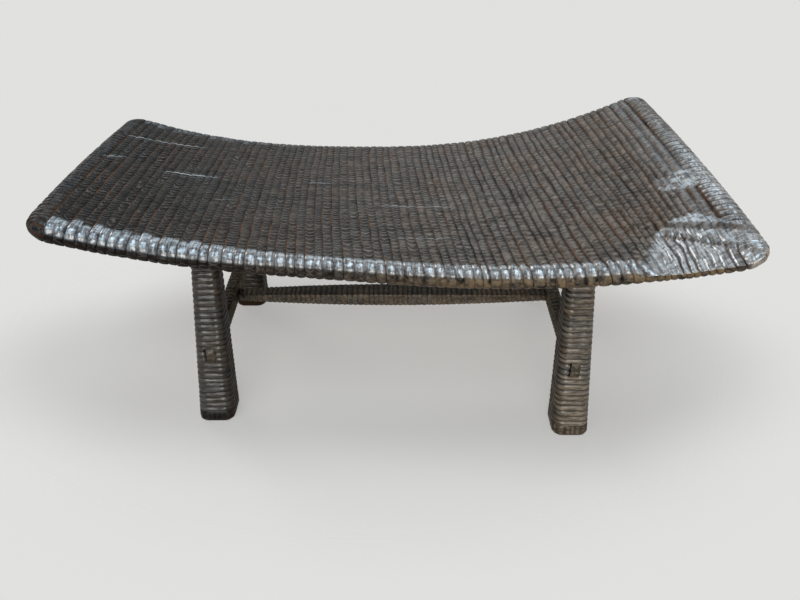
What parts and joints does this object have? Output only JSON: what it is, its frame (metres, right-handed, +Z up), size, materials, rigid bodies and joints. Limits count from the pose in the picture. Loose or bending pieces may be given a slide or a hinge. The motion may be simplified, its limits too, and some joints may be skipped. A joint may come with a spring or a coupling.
{
  "type": "carved teak bench",
  "caption": "Low bench with a long bowed slab seat carved all over in ribs, on splayed ribbed legs tied by an H of wedged stretchers.",
  "frame": {"origin": "on the floor, under the middle of the bench's bounding box", "axes": "+X along the seat to the right as seen from the front, +Y to the back, +Z up"},
  "size_m": [1.2346, 0.7018, 0.5517],
  "materials": {
    "seat_wood": "charred and waxed, satin",
    "leg_wood": "charred and waxed, satin",
    "stretcher_wood": "charred, dull satin",
    "wedge_wood": "split and driven, dull"
  },
  "bodies": {
    "root": {"seat_slab": "seat_wood", "leg_front_left": "leg_wood", "leg_front_right": "leg_wood", "leg_back_left": "leg_wood", "leg_back_right": "leg_wood", "end_stretcher_left": "stretcher_wood", "end_stretcher_right": "stretcher_wood", "long_stretcher": "stretcher_wood", "foxtail_wedge_front_left": "wedge_wood", "foxtail_wedge_front_right": "wedge_wood", "foxtail_wedge_back_left": "wedge_wood", "foxtail_wedge_back_right": "wedge_wood", "tenon_wedge_front_left": "wedge_wood", "tenon_wedge_front_right": "wedge_wood", "tenon_wedge_back_left": "wedge_wood", "tenon_wedge_back_right": "wedge_wood", "long_tenon_wedge_left": "wedge_wood", "long_tenon_wedge_right": "wedge_wood"}
  },
  "joints": []
}
